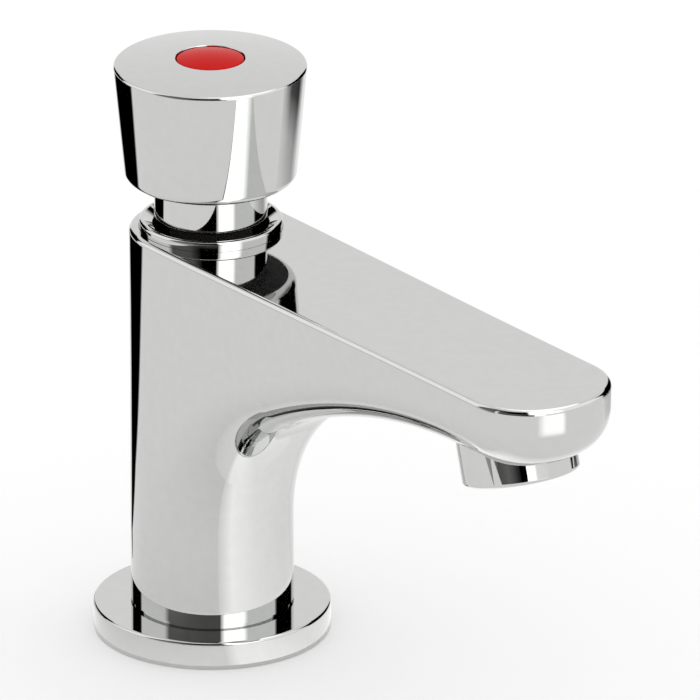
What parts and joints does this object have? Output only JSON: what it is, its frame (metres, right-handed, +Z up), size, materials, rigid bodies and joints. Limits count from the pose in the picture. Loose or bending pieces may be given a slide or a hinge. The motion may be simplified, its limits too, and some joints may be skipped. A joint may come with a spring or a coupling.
{
  "type": "push timed tap",
  "caption": "Deck mounted push timed pillar tap: round column, flat-topped spout with tilted outlet, tapered push button on a timed cartridge, and a threaded tail.",
  "frame": {"origin": "on the column axis, in the plane of the deck that the tap stands on", "axes": "+Z up along the column axis, -Y toward the tip of the spout, X across; symmetric about x = 0 apart from the metering pin inside"},
  "size_m": [0.05, 0.1462, 0.1799],
  "materials": {
    "chrome_body": "polished chrome plate on cast brass",
    "chrome_button": "polished chrome plate on brass",
    "chrome_trim": "polished chrome plate on brass",
    "chrome_nozzle": "polished chrome plate on brass",
    "indicator_red": "glossy red moulding",
    "tail_brass": "turned brass with a cut thread",
    "nut_brass": "turned and milled brass",
    "valve_brass": "fine turned brass",
    "washer_steel": "zinc plated steel",
    "strainer_steel": "pressed stainless steel",
    "spring_steel": "drawn stainless steel",
    "cartridge_plastic": "white acetal",
    "insert_plastic": "pale grey moulding",
    "seal_rubber": "black rubber",
    "ring_rubber": "black nitrile rubber"
  },
  "bodies": {
    "tap": {"body": "chrome_body", "base_flange": "chrome_trim", "base_seal": "seal_rubber", "threaded_tail": "tail_brass", "tail_o_ring": "ring_rubber", "inlet_strainer": "strainer_steel", "rubber_washer": "seal_rubber", "steel_washer": "washer_steel", "backnut": "nut_brass", "valve_seat": "valve_brass", "cartridge_body": "cartridge_plastic", "cartridge_o_rings": "ring_rubber", "guide_bush": "valve_brass", "spindle_o_ring": "ring_rubber", "metering_pin": "spring_steel", "collar_nut": "chrome_trim", "return_spring": "spring_steel", "nozzle_housing": "chrome_nozzle", "nozzle_washer": "seal_rubber", "flow_straightener": "insert_plastic", "flow_regulator": "insert_plastic"},
    "plunger": {"push_cap": "chrome_button", "neck_sleeve": "chrome_trim", "indicator_disc": "indicator_red", "cap_screw": "spring_steel", "spindle": "valve_brass", "piston": "cartridge_plastic", "piston_cup_seal": "ring_rubber", "piston_clip": "spring_steel", "main_washer": "ring_rubber", "washer_retainer": "valve_brass", "stem_nut": "valve_brass"}
  },
  "joints": [
    {"name": "button_push", "type": "slide", "parent": "tap", "child": "plunger", "axis": [0, 0, -1], "range_m": [0, 0.0055], "stiffness_N_per_m": 2000, "springref_m": -0.006, "deforming": ["return_spring"]}
  ]
}
